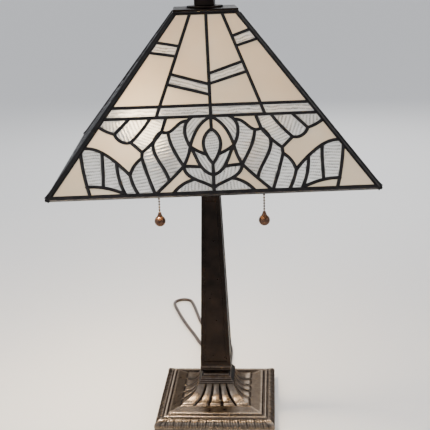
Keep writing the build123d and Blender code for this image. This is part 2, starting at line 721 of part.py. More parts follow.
with BuildPart() as outlets:
    for side in BOTH.values():
        stub_z = GUIDE_LOW + GUIDE_DEPTH
        with BuildSketch(Plane(origin=(side * CHAIN_X, 0, 0), x_dir=(1, 0, 0), z_dir=(0, -1, 0))):
            Polygon(
                (0, GUIDE_LOW), (4.6, GUIDE_LOW), (4.6, GUIDE_LOW + 1), (3.6, GUIDE_LOW + 3.5),
                (3.6, GUIDE_LOW + 21), (2.6, GUIDE_LOW + 23), (0, GUIDE_LOW + 23),
                align=None,
            )
        revolve(axis=Axis((side * CHAIN_X, 0, 0), (0, 0, 1)))
        with BuildSketch(Plane(origin=(side * (CHAIN_X - 14), 0, stub_z), z_dir=(side, 0, 0))):
            Circle(3.3)
        extrude(amount=14)
        with BuildSketch(Plane(origin=socket_profile(side).origin, x_dir=(0, 1, 0), z_dir=along(side))):
            Circle(SHELL + FIT + 0.9)
        extrude(amount=40, mode=Mode.SUBTRACT)
        with Locations((side * CHAIN_X, 0, GUIDE_LOW)):
            Cylinder(GUIDE_BORE, GUIDE_DEPTH, align=UPWARD, mode=Mode.SUBTRACT)
finish(outlets.part, "chain_outlets")

for name, side in BOTH.items():
    plane = socket_profile(side)
    foot = plane.origin

    with BuildPart() as bulb_glass:
        for inset, mode in ((0, Mode.ADD), (0.8, Mode.SUBTRACT)):
            with BuildSketch(plane):
                with BuildLine():
                    bulb_outline(inset)
                make_face()
            revolve(axis=Axis(foot, along(side)), mode=mode)
    finish(bulb_glass.part, f"{name}_bulb_glass")

    with BuildPart() as bulb_base:
        low = BULB_FOOT
        turned(
            side,
            (0, low), (5, low), (8, low + 2.5), (BULB_BASE, low + 5), (BULB_BASE, low + 24), (0, low + 24),
        )
    finish(bulb_base.part, f"{name}_bulb_base")

    with BuildPart() as bulb_stem:
        low = BULB_FOOT + 24
        turned(side, (0, low), (9, low), (4, low + 10), (3, low + 26), (0, low + 28))
        with BuildSketch(Plane(origin=foot + along(side) * (low + 37), z_dir=(0, 1, 0))):
            Circle(0.9)
        extrude(amount=9, both=True)
        for y in (-8.5, 8.5):
            top = foot + along(side) * (low + 37) + Vector(0, y, 0)
            bottom = foot + along(side) * (low + 20)
            with BuildSketch(Plane(origin=bottom, z_dir=top - bottom)):
                Circle(0.5)
            extrude(amount=(top - bottom).length)
    finish(bulb_stem.part, f"{name}_bulb_stem")

    with BuildPart() as switch_link:
        beads = [GUIDE_LOW + 2.1 + BEAD_PITCH * number for number in range(4)]
        with Locations(*[(side * CHAIN_X, 0, z) for z in beads]):
            Sphere(BEAD / 2)
        with Locations((side * CHAIN_X, 0, GUIDE_LOW + GAP / 2)):
            Cylinder(LINK / 2, beads[-1] - GUIDE_LOW, align=UPWARD)
    finish(switch_link.part, f"{name}_switch_link")

    with BuildPart() as chain:
        beads = [GUIDE_LOW - 2.2 - BEAD_PITCH * number for number in range(CHAIN_BEADS)]
        with Locations(*[(side * CHAIN_X, 0, z) for z in beads]):
            Sphere(BEAD / 2)
        with Locations((side * CHAIN_X, 0, beads[-1] - 3)):
            Cylinder(LINK / 2, GUIDE_LOW - GAP / 2 - beads[-1] + 3, align=UPWARD)
    finish(chain.part, f"{name}_pull_chain")

    BELL_TOP = beads[-1] - 3
    with BuildPart() as ball:
        with Locations((side * CHAIN_X, 0, BALL_Z)):
            Sphere(BALL / 2)
    finish(ball.part, f"{name}_pull_ball")

    with BuildPart() as bell:
        with BuildSketch(Plane(origin=(side * CHAIN_X, 0, 0), x_dir=(1, 0, 0), z_dir=(0, -1, 0))):
            with BuildLine():
                Polyline((0, BELL_TOP), (1.6, BELL_TOP), (2.2, BELL_TOP - 0.8))
                ThreePointArc((2.2, BELL_TOP - 0.8), (2.9, BELL_TOP - 3.4), (4.8, BALL_Z + 6.4))
                Polyline((4.8, BALL_Z + 6.4), (0, BALL_Z + 6.4), (0, BELL_TOP))
            make_face()
        revolve(axis=Axis((side * CHAIN_X, 0, 0), (0, 0, 1)))
        add(ball.part, mode=Mode.SUBTRACT)
    finish(bell.part, f"{name}_pull_bell")


# ---------------------------------------------------------------- cord
def cord_tube(points):
    """The path of a cord: straight runs between the points, joined by arcs as large as the runs allow."""
    runs = [(b - a).length for a, b in zip(points, points[1:])]
    radii = []
    for a, b, c, short in zip(points, points[1:], points[2:], map(min, runs, runs[1:])):
        half_turn = math.radians((b - a).get_angle(c - b)) / 2
        radii.append(0.45 * short / math.tan(half_turn))
    print("cord radii", [round(radius) for radius in radii])
    return FilletPolyline(*points, radius=radii)


BUSHING_IN = 81.0          # the bushing's inner end
BUSHING_OUT = 111.0        # and the end of its tapered tail
CORD_START = 92.0          # where the free cord meets the cord inside the base

with BuildPart() as cord_bushing:
    z = CORD_EXIT_Z
    with BuildSketch(Plane.YZ.offset(CORD_EXIT_X)):
        Polygon(
            (BUSHING_IN, z + CORD / 2), (BUSHING_IN, z + BUSHING / 2), (B + 0.3, z + BUSHING / 2),
            (B + 0.3, z + 6.4), (B + 3, z + 6), (B + 4, z + 5),
            (BUSHING_OUT, z + CORD / 2 + 0.6), (BUSHING_OUT, z + CORD / 2),
            align=None,
        )
    revolve(axis=Axis((CORD_EXIT_X, 0, CORD_EXIT_Z), (0, 1, 0)))
finish(cord_bushing.part, "cord_bushing")

CORD_ROUTE = [
    (CORD_EXIT_X, CORD_START, CORD_EXIT_Z), (CORD_EXIT_X, 122, CORD_EXIT_Z),
    (12, 153, 5.2), (12.5, 184, 3), (8, 215, 3), (-4, 242, 3), (-24, 262, 3), (-44, 283, 3), (-54, 313, 3),
    (-61.5, 343, 3), (-68, 370, 3), (-74, 393, 3), (-78.5, 407.5, 3), (-82, 416.3, 3), (-89.2, 422.2, 3),
    (-98.5, 423.7, 3), (-107.3, 420.3, 3), (-113.2, 413, 3), (-114.7, 403.7, 3), (-112.2, 391, 3),
    (-104.5, 368, 3), (-94.5, 338, 3), (-83, 307, 3), (-70.5, 276.5, 3), (-58, 248, 3), (-48.5, 222, 3),
]
with BuildPart() as supply_cord:
    with BuildLine() as cord_line:
        cord_tube([Vector(*point) for point in CORD_ROUTE])
    with BuildSketch(Plane(origin=cord_line.line @ 0, z_dir=cord_line.line % 0)):
        Circle(CORD / 2)
    sweep(path=cord_line.wires()[0])
CORD_LENGTH = cord_line.wires()[0].length
print("cord tube", round(CORD_LENGTH), "mm, volume over section times length",
      round(supply_cord.part.volume / (math.pi * CORD ** 2 / 4 * CORD_LENGTH), 4))
finish(supply_cord.part, "supply_cord")

# The rest of the cord is folded into a hank: laps of two long runs joined by round folds, tied in the middle.
HANK_NEAR = (-16.5, 122.0)     # middle of the folds next to the base
HANK_FAR = (-24.0, 223.0)      # and of the folds at the other end
HANK_TOP = 24.8            # four layers of cord
FOLD = 21.3                # outer radius of the folds
BUNDLE = 6.6               # half the width of the tied bundle
PLUG_THICK = 12.6
PLUG_Z = HANK_TOP + PLUG_THICK / 2 + 0.1
PLUG_START = 22.0          # where the plug starts, along the hank from its middle

hank_middle = tuple((a + b) / 2 for a, b in zip(HANK_NEAR, HANK_FAR))
hank_turn = math.degrees(math.atan2(HANK_NEAR[0] - HANK_FAR[0], HANK_FAR[1] - HANK_NEAR[1]))
hank_half = math.dist(HANK_NEAR, HANK_FAR) / 2
hank_plane = Plane(origin=(*hank_middle, 0)).rotated((0, 0, hank_turn))


def hank_outline():
    """The outline of the hank: round folds at the two ends, drawn in to the tied bundle between them."""
    for end in (1, -1):
        for side in (1, -1):
            fold = (side * FOLD, end * hank_half)
            Spline(fold, (side * BUNDLE, 0), tangents=[(0, -end), (0, -end)])
        ThreePointArc(
            (FOLD, end * hank_half),
            (0, end * (hank_half + FOLD)),
            (-FOLD, end * hank_half),
        )


with BuildPart() as cord_hank:
    with BuildSketch(hank_plane):
        with BuildLine():
            hank_outline()
        make_face()
    extrude(amount=HANK_TOP)
    ramp_low = hank_plane.from_local_coords(Vector(3.3, -PLUG_START, HANK_TOP - 1.8))
    ramp_high = hank_plane.from_local_coords(Vector(0, PLUG_START, PLUG_Z))
    with BuildSketch(Plane(origin=ramp_low, z_dir=ramp_high - ramp_low)):
        Circle(CORD / 2)
    extrude(amount=(ramp_high - ramp_low).length)
    tube_end = cord_line.line @ 1
    with BuildSketch(Plane(origin=tube_end, z_dir=cord_line.line % 1)):
        Circle(CORD / 2)
    extrude(amount=18)
finish(cord_hank.part, "cord_hank")


with BuildPart() as hank_tie:
    with BuildSketch(Plane(origin=hank_plane.origin, x_dir=hank_plane.x_dir, z_dir=hank_plane.y_dir)):
        Rectangle(2 * BUNDLE + 2.4, HANK_TOP + 1.2, align=(Align.CENTER, Align.MAX))
        Rectangle(2 * BUNDLE, HANK_TOP, align=(Align.CENTER, Align.MAX), mode=Mode.SUBTRACT)
    extrude(amount=3, both=True)
    add(cord_hank.part, mode=Mode.SUBTRACT)
finish(hank_tie.part, "hank_tie")

# The plug lies flat on the hank, with its two blades side by side.
PLUG_LENGTH = 30.0
BLADE_PITCH = 12.7
plug_foot = hank_plane.from_local_coords(Vector(0, PLUG_START, PLUG_Z))
plug_plane = Plane(origin=plug_foot, x_dir=hank_plane.x_dir, z_dir=hank_plane.y_dir)

with BuildPart() as plug_body:
    sections = ((0, 7.4, 7.4), (9, 19, 11), (14, 25, PLUG_THICK), (PLUG_LENGTH, 25, PLUG_THICK))
    for height, width, thick in sections:
        with BuildSketch(plug_plane.offset(height)):
            RectangleRounded(width, thick, thick * 0.4)
    loft(ruled=True)
finish(plug_body.part, "plug_body")

with BuildPart() as plug_blades:
    for x in (-BLADE_PITCH / 2, BLADE_PITCH / 2):
        with BuildSketch(plug_plane.offset(PLUG_LENGTH)):
            with Locations((x, 0)):
                Rectangle(1.5, 6.3)
        extrude(amount=16)
finish(plug_blades.part, "plug_blades")

# The cord inside the stand: from the bushing to the middle of the base, and up the pipe to the cluster body.
with BuildPart() as inner_cord:
    with BuildLine() as inner_line:
        FilletPolyline(
            (CORD_EXIT_X, CORD_START, CORD_EXIT_Z), (CORD_EXIT_X, 60, CORD_EXIT_Z), (0, 20, CORD_EXIT_Z),
            (0, 0, CORD_EXIT_Z), (0, 0, HUB_Z + 7),
            radius=[40, 30, 12],
        )
    with BuildSketch(Plane(origin=inner_line.line @ 0, z_dir=inner_line.line % 0)):
        Circle(CORD / 2)
    sweep(path=inner_line.wires()[0])
finish(inner_cord.part, "inner_cord")
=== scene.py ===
"""Looks of a leaded glass table lamp: solder, rippled glass, cast bronze, chains, bulbs and cord.

Metres, +Z up, in the CAD model's own frame.
"""
import math

import bpy
import numpy as np
from mathutils import Matrix, Vector
from mathutils.geometry import delaunay_2d_cdt
from mathutils.kdtree import KDTree


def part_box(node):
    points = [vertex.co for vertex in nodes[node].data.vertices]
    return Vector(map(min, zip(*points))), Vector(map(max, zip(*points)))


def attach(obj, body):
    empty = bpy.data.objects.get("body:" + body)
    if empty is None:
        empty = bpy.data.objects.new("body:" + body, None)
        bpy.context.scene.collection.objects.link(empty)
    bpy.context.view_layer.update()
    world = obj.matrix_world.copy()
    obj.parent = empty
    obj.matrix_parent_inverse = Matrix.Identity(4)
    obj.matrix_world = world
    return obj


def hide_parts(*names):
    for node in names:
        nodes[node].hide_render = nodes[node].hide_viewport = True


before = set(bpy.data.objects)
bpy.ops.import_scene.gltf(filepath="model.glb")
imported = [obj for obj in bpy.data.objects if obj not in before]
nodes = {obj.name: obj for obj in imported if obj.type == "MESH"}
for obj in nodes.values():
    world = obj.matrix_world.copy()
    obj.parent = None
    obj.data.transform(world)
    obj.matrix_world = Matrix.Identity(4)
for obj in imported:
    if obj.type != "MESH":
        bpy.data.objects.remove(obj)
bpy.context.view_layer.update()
MM = 0.001


# ---------------------------------------------------------------- camera
LENS, SENSOR = 70.18, 36.0
CAMERA_PLACE = (0.0942, -1.1751, 0.6706)
CAMERA_YAW, CAMERA_PITCH, CAMERA_ROLL = 4.357, 16.861, -1.862   # degrees left, down, about the view


def make_camera():
    """A camera a little to the right of the front, looking down, and rolled by almost two degrees."""
    data = bpy.data.cameras.new("camera")
    data.lens = LENS
    data.sensor_width = SENSOR
    camera = bpy.data.objects.new("camera", data)
    bpy.context.scene.collection.objects.link(camera)
    yaw = Matrix.Rotation(math.radians(CAMERA_YAW), 4, "Z")
    pitch = Matrix.Rotation(math.pi / 2 - math.radians(CAMERA_PITCH), 4, "X")
    roll = Matrix.Rotation(math.radians(CAMERA_ROLL), 4, "Z")
    camera.matrix_world = Matrix.Translation(CAMERA_PLACE) @ yaw @ pitch @ roll
    bpy.context.scene.camera = camera


make_camera()


# ---------------------------------------------------------------- materials
class Nodes:
    """A short way to write a material's node tree."""

    def __init__(self, name):
        self.material = bpy.data.materials.new(name)
        self.material.use_nodes = True
        self.tree = self.material.node_tree
        self.shader = self.tree.nodes["Principled BSDF"]
        self.place = self.tree.nodes.new("ShaderNodeTexCoord").outputs["Object"]

    def put(self, socket, value):
        """Links a socket to another one, or gives it a constant."""
        if isinstance(value, bpy.types.NodeSocket):
            self.tree.links.new(value, socket)
        else:
            socket.default_value = value

    def add(self, kind, inputs=None, **settings):
        """A new node with its settings, and with its inputs linked or set."""
        node = self.tree.nodes.new(kind)
        for key, value in settings.items():
            setattr(node, key, value)
        for key, value in (inputs or {}).items():
            self.put(node.inputs[key], value)
        return node

    def set(self, **values):
        """Links or sets the shader's own sockets, named with _ for a space."""
        for key, value in values.items():
            self.put(self.shader.inputs[key.replace("_", " ")], value)

    def noise(self, scale, detail=4.0, rough=0.55):
        """Noise over the object's own coordinates."""
        inputs = {"Vector": self.place, "Scale": scale, "Detail": detail, "Roughness": rough}
        return self.add("ShaderNodeTexNoise", inputs).outputs["Fac"]

    def ramp(self, value, *stops):
        """Colours along a value: stops are (position, colour)."""
        node = self.add("ShaderNodeValToRGB", {"Fac": value})
        points = node.color_ramp.elements
        while len(points) < len(stops):
            points.new(0.5)
        for point, (position, colour) in zip(points, stops):
            point.position = position
            point.color = (*colour, 1.0)
        return node.outputs["Color"]

    def range(self, value, low, high, to_low, to_high):
        """A value carried from one range to another."""
        sockets = {"Value": value, "From Min": low, "From Max": high, "To Min": to_low, "To Max": to_high}
        return self.add("ShaderNodeMapRange", sockets).outputs["Result"]

    def uneven(self, scale, low, high):
        """A value that drifts between low and high in patches."""
        return self.range(self.noise(scale), 0.3, 0.7, low, high)

    def mix(self, share, first, second):
        """The first colour, given as a socket, blended with the second, given as three numbers."""
        node = self.add("ShaderNodeMix", data_type="RGBA")
        colours = [socket for socket in node.inputs if socket.type == "RGBA"]
        self.put(next(socket for socket in node.inputs if socket.name == "Factor"), share)
        self.put(colours[0], first)
        self.put(colours[1], (*second, 1.0))
        return next(socket for socket in node.outputs if socket.type == "RGBA")

    def multiply(self, first, second):
        """The product of two values."""
        node = self.add("ShaderNodeMath", operation="MULTIPLY")
        self.put(node.inputs[0], first)
        self.put(node.inputs[1], second)
        return node.outputs["Value"]

    def attribute(self, name):
        """A mesh attribute's value."""
        return self.add("ShaderNodeAttribute", attribute_name=name).outputs["Fac"]

    def bump(self, height, distance):
        """Fine relief on the shader's normal: distance is its full height, in metres."""
        node = self.add("ShaderNodeBump", {"Height": height, "Distance": distance, "Strength": 1.0})
        self.put(self.shader.inputs["Normal"], node.outputs["Normal"])


def metal(name, dark, light, rough, scale, grain, worn_and_highlight=None, edge=1.0, coat=0.0):
    """Aged metal: two tones of patina in soft patches, an uneven gloss and a fine grain.

    The worn tone shows where the mesh marks wear, and it is also a painted highlight on edges and raised
    relief. Edge is the brightness at a glancing angle.
    """
    m = Nodes(name)
    colour = m.ramp(m.noise(scale), (0.35, dark), (0.65, light))
    gloss = m.uneven(scale * 3, *rough)
    if worn_and_highlight:
        # Painted highlight as well as wear: the light worn tone on edges, corners and raised relief.
        rub_and_highlight = m.multiply(m.attribute("wear"), m.range(m.noise(scale * 5), 0.3, 0.6, 0.45, 1.0))
        colour = m.mix(rub_and_highlight, colour, worn_and_highlight)
    m.set(Base_Color=colour, Roughness=gloss, Metallic=1.0, Coat_Weight=coat, Coat_Roughness=0.16)
    m.set(Specular_Tint=(edge, edge * 0.9, edge * 0.8, 1))
    m.bump(m.noise(scale * 12, 6), grain)
    return m.material


def give(material, *names):
    """Gives CAD nodes a material."""
    for name in names:
        data = nodes[name].data
        data.materials.clear()
        data.materials.append(material)


# ---------------------------------------------------------------- cord
CORD = 0.006
ROUTE = [
    (0.011, 0.092, 0.009), (0.011, 0.122, 0.009), (0.012, 0.153, 0.0052), (0.0125, 0.184, 0.003),
    (0.008, 0.215, 0.003), (-0.004, 0.242, 0.003), (-0.024, 0.262, 0.003), (-0.044, 0.283, 0.003),
    (-0.054, 0.313, 0.003), (-0.0615, 0.343, 0.003), (-0.068, 0.370, 0.003), (-0.074, 0.393, 0.003),
    (-0.0785, 0.4075, 0.003), (-0.082, 0.4163, 0.003), (-0.0892, 0.4222, 0.003), (-0.0985, 0.4237, 0.003),
    (-0.1073, 0.4203, 0.003), (-0.1132, 0.413, 0.003), (-0.1147, 0.4037, 0.003), (-0.1122, 0.391, 0.003),
    (-0.1045, 0.368, 0.003), (-0.0945, 0.338, 0.003), (-0.083, 0.307, 0.003), (-0.0705, 0.2765, 0.003),
    (-0.058, 0.248, 0.003), (-0.0485, 0.222, 0.003),
]
HANK_NEAR = Vector((-0.0165, 0.122, 0))   # middle of the hank's folds next to the base
HANK_FAR = Vector((-0.024, 0.223, 0))     # and of its other folds
PLUG = Vector((0, 0.022, 0.0312))         # where the cord enters the plug, from the hank's middle
FOLD = 0.0181                             # radius of the folds
FOLD_POINTS = 5                           # control points round one fold
LAPS = 4
LOWEST = 0.0032                           # height of the first lap's middle
LAYER = 0.0061                            # rise from one lap to the next
WAIST = 0.0033                            # how far a lap stands from the hank's middle under the tie
SHOULDER = 0.68                           # where it starts to draw in, as a share of the hank's half length
RISE = Vector((WAIST, -0.012, 0.002))     # start of the rise to the plug, from the last lap's middle
PLUG_RUN = 0.008                          # straight run into the plug


def hank_frame():
    """The hank's own axes: X across it, Y along it, with its middle at the origin."""
    along = (HANK_FAR - HANK_NEAR).normalized()
    across = along.cross(Vector((0, 0, 1)))
    axes = Matrix((across, along, Vector((0, 0, 1)))).transposed().to_4x4()
    return Matrix.Translation((HANK_NEAR + HANK_FAR) / 2) @ axes


def hank_fold(end, start, z_from, z_to):
    """Control points round one fold: half a turn from the start angle about y = end, rising evenly."""
    radius = FOLD / math.cos(math.pi / FOLD_POINTS / 2)
    points = []
    for number in range(FOLD_POINTS):
        share = (number + 0.5) / FOLD_POINTS
        turn = start + math.pi * share
        z = z_from + (z_to - z_from) * share
        points.append((radius * math.cos(turn), end + radius * math.sin(turn), z))
    return points


def hank_laps():
    """The hank's control points: laps on each other, drawn in under the tie, then a rise to the plug."""
    reach = (HANK_FAR - HANK_NEAR).length / 2
    shoulder = reach * SHOULDER
    points = []
    for lap in range(LAPS):
        z = LOWEST + LAYER * lap
        points += [(-FOLD, shoulder, z), (-WAIST, 0, z), (-FOLD, -shoulder, z)]
        points += hank_fold(-reach, math.pi, z, z)
        points.append((FOLD, -shoulder, z))
        if lap + 1 < LAPS:
            points += [(WAIST, 0, z), (FOLD, shoulder, z)]
            points += hank_fold(reach, 0, z, z + LAYER)
    points += [(RISE.x, RISE.y, z + RISE.z), (0, PLUG.y - PLUG_RUN, PLUG.z), tuple(PLUG)]
    place = hank_frame()
    return [tuple(place @ Vector(point)) for point in points]


def make_cord():
    """The whole cord as one curve, from inside the base to the plug."""
    data = bpy.data.curves.new("cord", "CURVE")
    data.dimensions = "3D"
    data.bevel_depth = 1.0   # each point's radius gives the thickness
    data.bevel_resolution = 5
    data.resolution_u = 6
    data.use_fill_caps = True
    spline = data.splines.new("NURBS")
    points = ROUTE + hank_laps()
    spline.points.add(len(points) - 1)
    for point, place in zip(spline.points, points):
        point.co = (*place, 1.0)
        point.radius = CORD / 2
    spline.order_u = 3
    spline.use_endpoint_u = True
    cord = bpy.data.objects.new("cord", data)
    bpy.context.scene.collection.objects.link(cord)
    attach(cord, "stand")
    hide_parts("supply_cord", "cord_hank")
    return cord


cord = make_cord()


# ---------------------------------------------------------------- stage
LAMP_MIDDLE = Vector((0, 0, 0.35))


def area_light(name, place, size, power):
    """A round soft light that faces the lamp's middle."""
    data = bpy.data.lights.new(name, "AREA")
    data.shape = "DISK"
    data.size = size
    data.energy = power
    lamp = bpy.data.objects.new(name, data)
    bpy.context.scene.collection.objects.link(lamp)
    aim = (LAMP_MIDDLE - Vector(place)).to_track_quat("-Z", "Y")
    lamp.matrix_world = Matrix.Translation(place) @ aim.to_matrix().to_4x4()


def make_stage():
    """A pale floor, an even sky and three soft lights."""
    bpy.ops.mesh.primitive_plane_add(size=40, location=(0, 0, 0))
    floor = bpy.context.object
    floor.name = "floor"
    m = Nodes("floor")
    m.set(Base_Color=(0.80, 0.79, 0.77, 1), Roughness=0.6)
    floor.data.materials.append(m.material)
    world = bpy.data.worlds.new("studio")
    bpy.context.scene.world = world
    world.use_nodes = True
    sky = world.node_tree.nodes["Background"]
    sky.inputs["Color"].default_value = (0.9, 0.93, 1.0, 1)
    sky.inputs["Strength"].default_value = 0.85
    area_light("key", (-1.4, -1.6, 1.8), 1.2, 26)
    area_light("fill", (1.8, -1.0, 1.2), 1.4, 9)
    area_light("back", (0.2, 2.0, 1.6), 1.8, 30)


make_stage()


# ---------------------------------------------------------------- shade: outlines and how they are filled
SHADE_WIDTH = 0.4064       # across the flats of the bottom rim
SHADE_TOP_WIDTH = 0.085    # and of the top rim
SHADE_RISE = 0.2055
SHADE_Z = 0.402
SHADE_TURN = 5.7           # how far the shade is turned on its seat, in degrees
CAME = 0.0045              # width and thickness of a lead line
GLASS_DROP = 0.00075       # how far the glass lies behind the leads' outer face
GLASS = 0.003
SHADE_RUN = (SHADE_WIDTH - SHADE_TOP_WIDTH) / 2
SIDES = {"front": 0, "right": 90, "back": 180, "left": 270}
LEVEL_SLACK = 0.05         # how far from a level a vertex may lie to be on it, in mm


def side_matrix(angle):
    """The frame of one side of the shade: X along its bottom edge, Y up the slope, Z outward."""
    turn = math.radians(SHADE_TURN + angle)
    across = Vector((math.cos(turn), math.sin(turn), 0))
    outward = Vector((math.sin(turn), -math.cos(turn), 0))
    foot = outward * (SHADE_WIDTH / 2) + Vector((0, 0, SHADE_Z))
    normal = (outward * SHADE_RISE + Vector((0, 0, SHADE_RUN))).normalized()
    axes = Matrix((across, normal.cross(across), normal)).transposed().to_4x4()
    return Matrix.Translation(foot) @ axes


def flat_edges(node, place, level):
    """The edges round a node's flat faces at one level of a side's frame, as pairs of points in mm."""
    mesh = nodes[node].data
    inverse = place.inverted()
    points = [tuple(round(c / MM, 3) for c in inverse @ v.co) for v in mesh.vertices]
    edges = {}
    for polygon in mesh.polygons:
        corners = [points[i] for i in polygon.vertices]
        if all(abs(corner[2] - level / MM) < LEVEL_SLACK for corner in corners):
            for a, b in zip(corners, corners[1:] + corners[:1]):
                if (b[:2], a[:2]) in edges:
                    del edges[(b[:2], a[:2])]
                else:
                    edges[(a[:2], b[:2])] = True
    return list(edges)


def outlines(node, place, level):
    """The closed outlines of a node's flat faces at one level of a side's frame, as lists of points in mm."""
    follow = {}
    for a, b in flat_edges(node, place, level):
        follow.setdefault(a, []).append(b)
    loops = []
    while follow:
        loop, here = [], next(iter(follow))
        while here in follow:
            loop.append(here)
            onward = follow[here].pop()
            if not follow[here]:
                del follow[here]
            here = onward
        loops.append(loop)
    return loops


def segments(loops):
    """The first and the second end of every segment of some outlines."""
    first = np.array([p for loop in loops for p in loop])
    second = np.array([p for loop in loops for p in loop[1:] + loop[:1]])
    return first, second


def within(points, loops, batch=2000):
    """Which points lie inside the outlines, holes left out, worked out a batch at a time."""
    a, b = segments(loops)
    points = np.asarray(points, float)
    inside = np.zeros(len(points), bool)
    for low in range(0, len(points), batch):
        x, y = points[low:low + batch, 0:1], points[low:low + batch, 1:2]
        spans = (a[:, 1] > y) != (b[:, 1] > y)
        rise = np.where(b[:, 1] == a[:, 1], 1, b[:, 1] - a[:, 1])
        crossing = a[:, 0] + (y - a[:, 1]) * (b[:, 0] - a[:, 0]) / rise
        inside[low:low + batch] = (spans & (x < crossing)).sum(1) % 2 == 1
    return inside


def edge_distance(points, loops, step=0.4):
    """How far each point lies from the nearest outline."""
    samples = []
    for first, second in zip(*segments(loops)):
        count = max(1, int(math.dist(first, second) / step))
        samples.extend(first + (second - first) * number / count for number in range(count))
    tree = KDTree(len(samples))
    for number, (x, y) in enumerate(samples):
        tree.insert((x, y, 0), number)
    tree.balance()
    return np.array([tree.find((x, y, 0))[2] for x, y in points])


def lattice(loops, along, across, angle=0.0, clear=0.35):
    """Points on a lattice turned by an angle, inside the outlines and clear of them."""
    turn = np.array([[math.cos(angle), math.sin(angle)], [-math.sin(angle), math.cos(angle)]])
    corners = np.concatenate([np.array(loop) for loop in loops]) @ turn.T
    low, high = corners.min(0), corners.max(0)
    rows = []
    for number, y in enumerate(np.arange(low[1] + across / 2, high[1], across)):
        x = np.arange(low[0] + along / 2 * (1 + number % 2), high[0], along)
        rows.append(np.stack([x, np.full_like(x, y)], 1))
    points = np.concatenate(rows) @ turn
    points = points[within(points, loops)]
    return points[edge_distance(points, loops) > clear] if len(points) else points


def fill(loops, seeds):
    """Points and triangles that fill the outlines and pass through the seeds."""
    edge_points = [Vector(p) for loop in loops for p in loop]
    edges, base = [], 0
    for loop in loops:
        count = len(loop)
        edges.extend((base + i, base + (i + 1) % count) for i in range(count))
        base += count
    everything = edge_points + [Vector(p) for p in seeds]
    points, _, faces, _, _, _ = delaunay_2d_cdt(everything, edges, [], 0, 1e-5, False)
    points = np.array([tuple(p) for p in points])
    faces = np.array([f for f in faces if len(f) == 3])
    return points, faces[within(points[faces].mean(1), loops)]


def slab(points, faces, top, bottom):
    """A closed shell between two heights given at every point: all its vertices and faces."""
    count = len(points)
    vertices = np.concatenate([np.column_stack([points, top]), np.column_stack([points, bottom])])
    sides = {}
    for a, b, c in faces:
        for edge in ((a, b), (b, c), (c, a)):
            if edge[::-1] in sides:
                del sides[edge[::-1]]
            else:
                sides[edge] = True
    walls = [(b, a, a + count, b + count) for a, b in sides]
    shell = [tuple(f) for f in faces] + [tuple(f[::-1] + count) for f in faces] + walls
    return vertices, shell


def mesh_from(name, vertices, faces, smooth=40, **attributes):
    """A mesh in metres from vertices in mm, shaded smooth except across sharp edges."""
    mesh = bpy.data.meshes.new(name)
    mesh.from_pydata((np.asarray(vertices) * MM).tolist(), [], [[int(i) for i in f] for f in faces])
    for key, values in attributes.items():
        mesh.attributes.new(key, "FLOAT", "POINT").data.foreach_set("value", np.asarray(values, np.float32))
    mesh.update()
    mesh.shade_smooth()
    mesh.set_sharp_from_angle(angle=math.radians(smooth))
    return mesh


def add_piece(name, mesh, material, body, replaced=(), place=None):
    """A new piece: its object, in place, riding on its body, and standing for CAD nodes."""
    piece = bpy.data.objects.new(name, mesh)
    bpy.context.scene.collection.objects.link(piece)
    if not mesh.materials:
        mesh.materials.append(material)
    if place is not None:
        piece.matrix_world = place
    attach(piece, body)
    if replaced:
        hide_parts(*replaced)
    return piece


# Four crossing waves: how each runs along x and y, its height, how far a seed shifts it, and its start.
WAVES = [
    (0.9, 0.35, 1.0, 1.7, 0), (-0.4, 1.1, 1.0, 2.9, 1),
    (1.7, -1.3, 0.7, 4.1, 0), (2.3, 2.1, 0.5, 5.3, 2),
]


def waves(x, y, size, seed=0.0):
    """Smooth unevenness between about -1 and 1, with features of about the given size."""
    turns = 2 * math.pi / size
    total = sum(
        height * np.sin(turns * (along_x * x + along_y * y) + shift * seed + start)
        for along_x, along_y, height, shift, start in WAVES
    )
    return total / sum(height for _, _, height, _, _ in WAVES)


def swell(distance, width):
    """A soft swelling: 1 at no distance, and next to nothing beyond twice the width."""
    return np.exp(-(distance / width) ** 2)


# ---------------------------------------------------------------- shade: solder lines
SOLDER_RISE = 1.25         # how far a line's middle stands above its edge, in mm as the next two
JOINT_RISE = 0.5           # how much higher it is where lines meet
SOLDER_LIP = 0.25          # how far its edge lies behind the glass's face


def solder_material():
    """Solder with a dark patina."""
    m = Nodes("solder")
    colour = m.ramp(m.noise(90), (0.3, (0.007, 0.006, 0.006)), (0.7, (0.022, 0.019, 0.018)))
    m.set(Base_Color=colour, Roughness=m.uneven(200, 0.28, 0.5), Metallic=0.75)
    m.bump(m.noise(700, 5), 0.0002)
    return m.material


def solder_mesh():
    """The soldered net of one panel: lines that bulge on both faces and thicken where they meet."""
    loops = outlines("shade_front_leads", side_matrix(0), 0.0)
    points, faces = fill(loops, lattice(loops, 1.05, 0.9))
    distance = edge_distance(points, loops)
    half = CAME / MM / 2
    dome = np.sqrt(1 - (1 - np.clip(distance / half, 0, 1)) ** 2)
    joints = JOINT_RISE * np.clip((distance - half) / half, 0, 1)
    lumps = 0.10 * waves(points[:, 0], points[:, 1], 17) + 0.05 * waves(points[:, 0], points[:, 1], 5, 3)
    rise = dome * (SOLDER_RISE + lumps) + joints
    edge = GLASS_DROP / MM + SOLDER_LIP
    vertices, shell = slab(points, faces, rise - edge, edge - CAME / MM - rise)
    return mesh_from("solder", vertices, shell)


def make_solder():
    """The four nets of solder lines, and their material."""
    mesh, material = solder_mesh(), solder_material()
    for side, angle in SIDES.items():
        replaced = [f"shade_{side}_leads"]
        add_piece(f"{side}_solder", mesh, material, "shade", replaced, side_matrix(angle))
    return material


